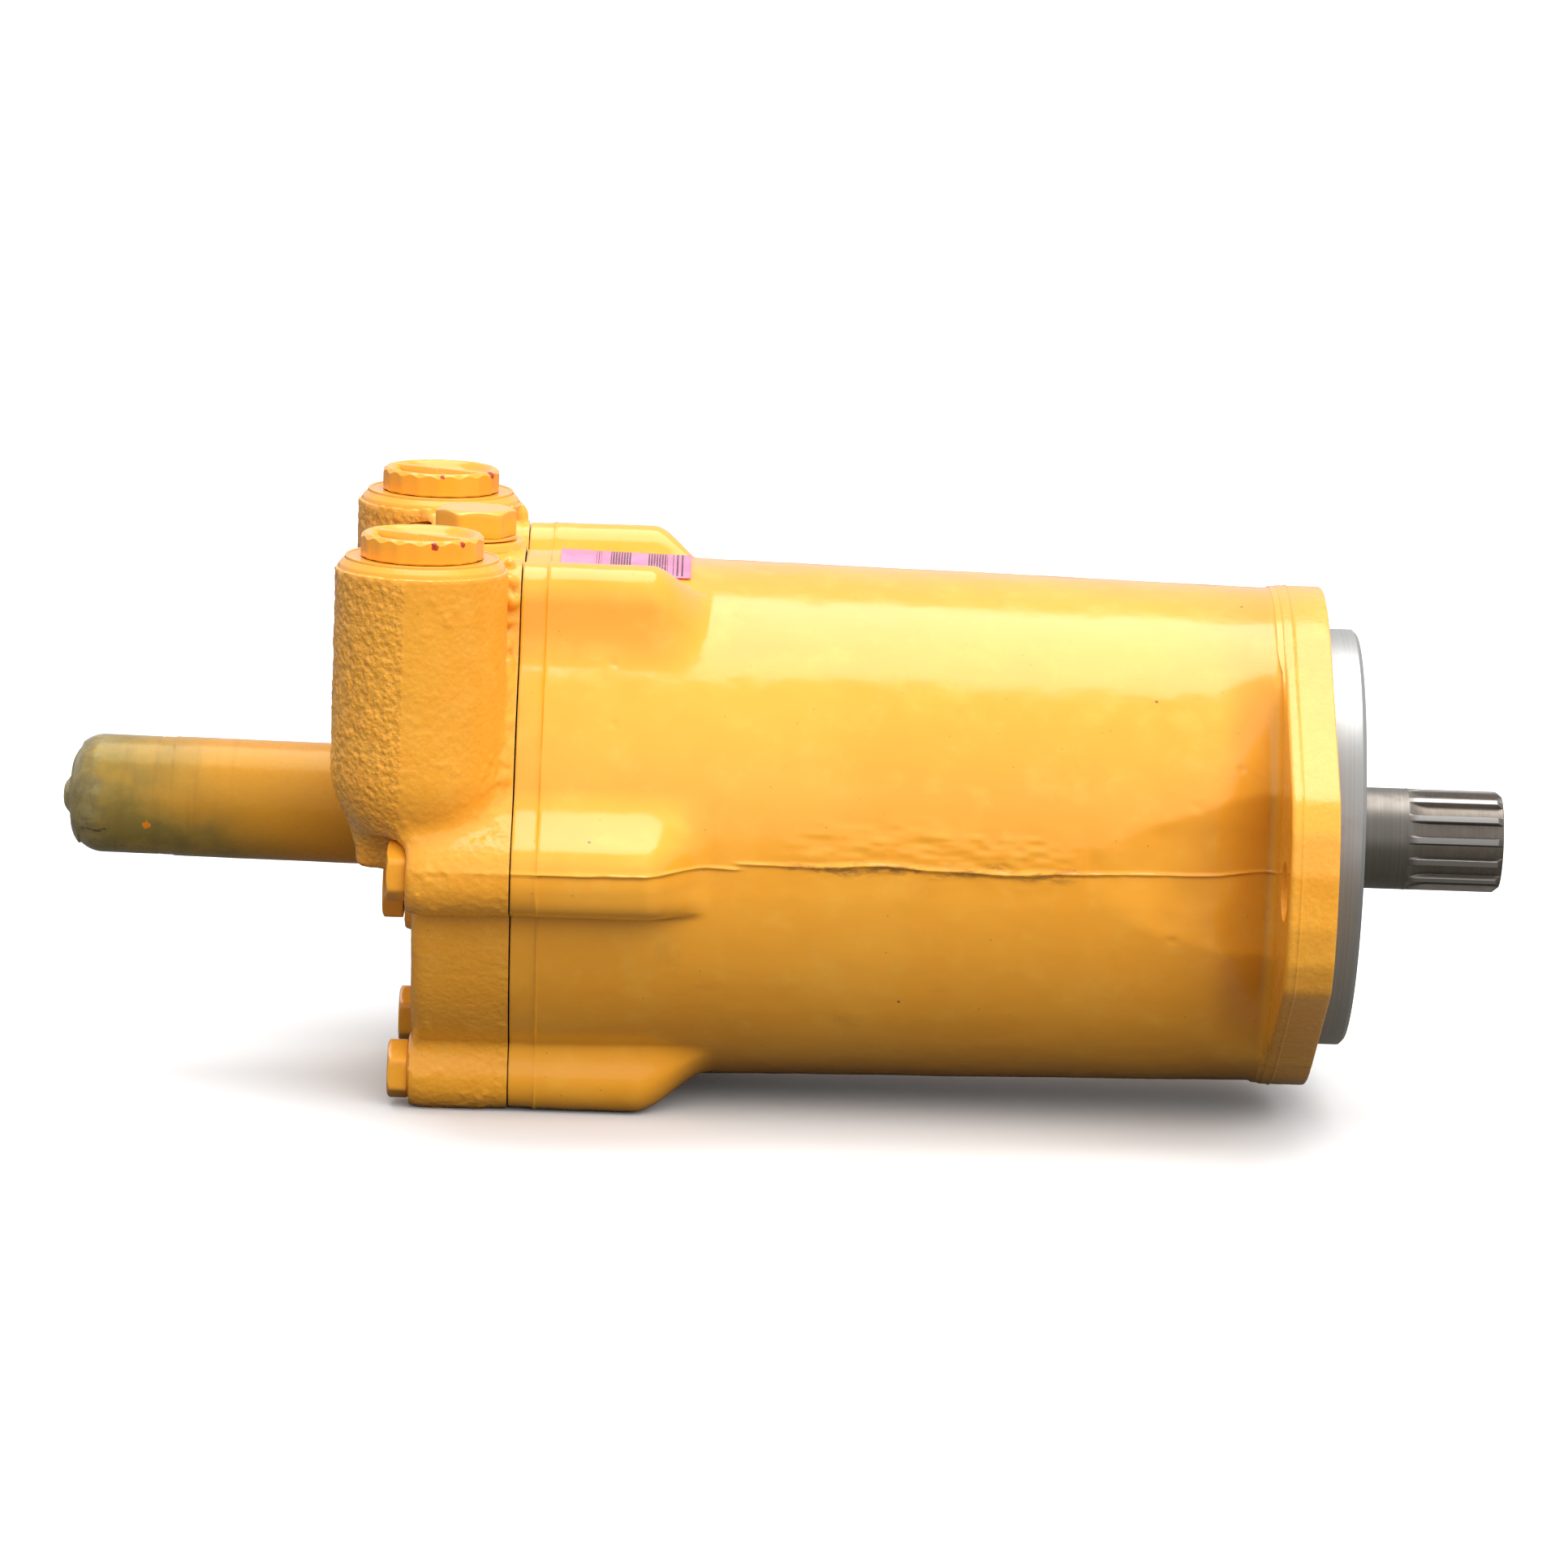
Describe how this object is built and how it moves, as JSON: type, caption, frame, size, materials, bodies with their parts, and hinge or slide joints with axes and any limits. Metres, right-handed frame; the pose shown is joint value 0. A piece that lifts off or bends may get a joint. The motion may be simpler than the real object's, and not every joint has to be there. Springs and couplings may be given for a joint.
{
  "type": "hydraulic motor",
  "caption": "Axial piston hydraulic motor: yellow casting, two-bolt flange with pilot, splined shaft, end cap with two plugged top ports and a rear valve tube.",
  "frame": {"origin": "on the shaft axis, in the outer end face of the splined shaft; the mounting flange's front face is 57.6 mm behind it", "axes": "+X along the shaft, out of the flange; +Z the way the two work ports face; +Y towards the far port"},
  "size_m": [0.4386, 0.2128, 0.179],
  "materials": {
    "housing_paint": "gloss yellow paint over a machined iron casting",
    "cap_paint": "gloss yellow paint over a rough sand casting",
    "fastener_paint": "gloss yellow paint over hex steel",
    "plug_paint": "red plastic transit plug oversprayed with yellow paint",
    "tube_paint": "thin yellow paint fading to olive at the closed end",
    "label_film": "pink film label, blank",
    "seal_rubber": "black nitrile rubber",
    "shaft_steel": "dark ground steel with an oily film",
    "bearing_steel": "ground bearing steel",
    "spring_steel": "dark spring steel",
    "plate_steel": "lapped hardened steel",
    "block_iron": "machined iron",
    "piston_steel": "ground and polished steel",
    "slipper_bronze": "machined bronze"
  },
  "bodies": {
    "motor_case": {"motor_housing": "housing_paint", "end_cap": "cap_paint", "end_cap_o_ring": "seal_rubber", "valve_tube": "tube_paint", "data_label": "label_film", "center_hex_plug": "fastener_paint", "center_plug_o_ring": "seal_rubber", "rear_hex_plug": "fastener_paint", "rear_plug_o_ring": "seal_rubber", "valve_seat": "bearing_steel", "valve_spring": "spring_steel", "shaft_seal": "seal_rubber", "seal_retaining_ring": "spring_steel", "front_bearing_outer_race": "bearing_steel", "rear_bearing_outer_race": "bearing_steel", "cam_plate": "plate_steel", "cam_plate_pin": "bearing_steel", "valve_plate": "plate_steel", "valve_plate_pin": "bearing_steel", "cap_screw_1": "fastener_paint", "cap_screw_2": "fastener_paint", "cap_screw_3": "fastener_paint", "cap_screw_4": "fastener_paint", "cap_screw_5": "fastener_paint", "cap_screw_6": "fastener_paint"},
    "rotor": {"drive_shaft": "shaft_steel", "cylinder_block": "block_iron", "block_spring": "spring_steel", "block_spring_washer": "spring_steel", "ball_guide": "plate_steel", "front_bearing_inner_race": "bearing_steel"},
    "slipper_group": {"slipper_retainer": "plate_steel", "slipper_1": "slipper_bronze", "slipper_2": "slipper_bronze", "slipper_3": "slipper_bronze", "slipper_4": "slipper_bronze", "slipper_5": "slipper_bronze", "slipper_6": "slipper_bronze", "slipper_7": "slipper_bronze", "slipper_8": "slipper_bronze", "slipper_9": "slipper_bronze"},
    "front_cage": {"front_bearing_rollers": "bearing_steel"},
    "rear_cage": {"rear_bearing_rollers": "bearing_steel"},
    "spool": {"valve_spool": "bearing_steel"},
    "near_plug": {"near_port_plug": "plug_paint", "near_port_o_ring": "seal_rubber"},
    "far_plug": {"far_port_plug": "plug_paint", "far_port_o_ring": "seal_rubber"},
    "piston_1_body": {"piston_1": "piston_steel"},
    "piston_2_body": {"piston_2": "piston_steel"},
    "piston_3_body": {"piston_3": "piston_steel"},
    "piston_4_body": {"piston_4": "piston_steel"},
    "piston_5_body": {"piston_5": "piston_steel"},
    "piston_6_body": {"piston_6": "piston_steel"},
    "piston_7_body": {"piston_7": "piston_steel"},
    "piston_8_body": {"piston_8": "piston_steel"},
    "piston_9_body": {"piston_9": "piston_steel"}
  },
  "joints": [
    {"name": "shaft_spin", "type": "hinge", "parent": "motor_case", "child": "rotor", "pos_m": [0, 0, 0], "axis": [1, 0, 0], "continuous": true},
    {"name": "slipper_group_spin", "type": "hinge", "parent": "motor_case", "child": "slipper_group", "pos_m": [-0.14092, 0, 0], "axis": [0.9659, 0, -0.2588], "continuous": true},
    {"name": "front_cage_spin", "type": "hinge", "parent": "motor_case", "child": "front_cage", "pos_m": [-0.0756, 0, 0], "axis": [1, 0, 0], "continuous": true},
    {"name": "rear_cage_spin", "type": "hinge", "parent": "motor_case", "child": "rear_cage", "pos_m": [-0.3056, 0, 0], "axis": [1, 0, 0], "continuous": true},
    {"name": "spool_slide", "type": "slide", "parent": "motor_case", "child": "spool", "axis": [1, 0, 0], "range_m": [0, 0.004]},
    {"name": "near_plug_lift", "type": "slide", "parent": "motor_case", "child": "near_plug", "axis": [0, 0, 1], "range_m": [0, 0.03]},
    {"name": "far_plug_lift", "type": "slide", "parent": "motor_case", "child": "far_plug", "axis": [0, 0, 1], "range_m": [0, 0.03]},
    {"name": "piston_1_slide", "type": "slide", "parent": "rotor", "child": "piston_1_body", "axis": [1, 0, 0], "range_m": [-0.0114, 0.01]},
    {"name": "piston_2_slide", "type": "slide", "parent": "rotor", "child": "piston_2_body", "axis": [1, 0, 0], "range_m": [-0.0114, 0.01]},
    {"name": "piston_3_slide", "type": "slide", "parent": "rotor", "child": "piston_3_body", "axis": [1, 0, 0], "range_m": [-0.0114, 0.01]},
    {"name": "piston_4_slide", "type": "slide", "parent": "rotor", "child": "piston_4_body", "axis": [1, 0, 0], "range_m": [-0.0114, 0.01]},
    {"name": "piston_5_slide", "type": "slide", "parent": "rotor", "child": "piston_5_body", "axis": [1, 0, 0], "range_m": [-0.0114, 0.01]},
    {"name": "piston_6_slide", "type": "slide", "parent": "rotor", "child": "piston_6_body", "axis": [1, 0, 0], "range_m": [-0.0114, 0.01]},
    {"name": "piston_7_slide", "type": "slide", "parent": "rotor", "child": "piston_7_body", "axis": [1, 0, 0], "range_m": [-0.0114, 0.01]},
    {"name": "piston_8_slide", "type": "slide", "parent": "rotor", "child": "piston_8_body", "axis": [1, 0, 0], "range_m": [-0.0114, 0.01]},
    {"name": "piston_9_slide", "type": "slide", "parent": "rotor", "child": "piston_9_body", "axis": [1, 0, 0], "range_m": [-0.0114, 0.01]}
  ],
  "couplings": [
    {"joint": "slipper_group_spin", "follows": "shaft_spin", "ratio": 1},
    {"joint": "front_cage_spin", "follows": "shaft_spin", "ratio": 0.4056},
    {"joint": "rear_cage_spin", "follows": "shaft_spin", "ratio": 0.4019}
  ]
}
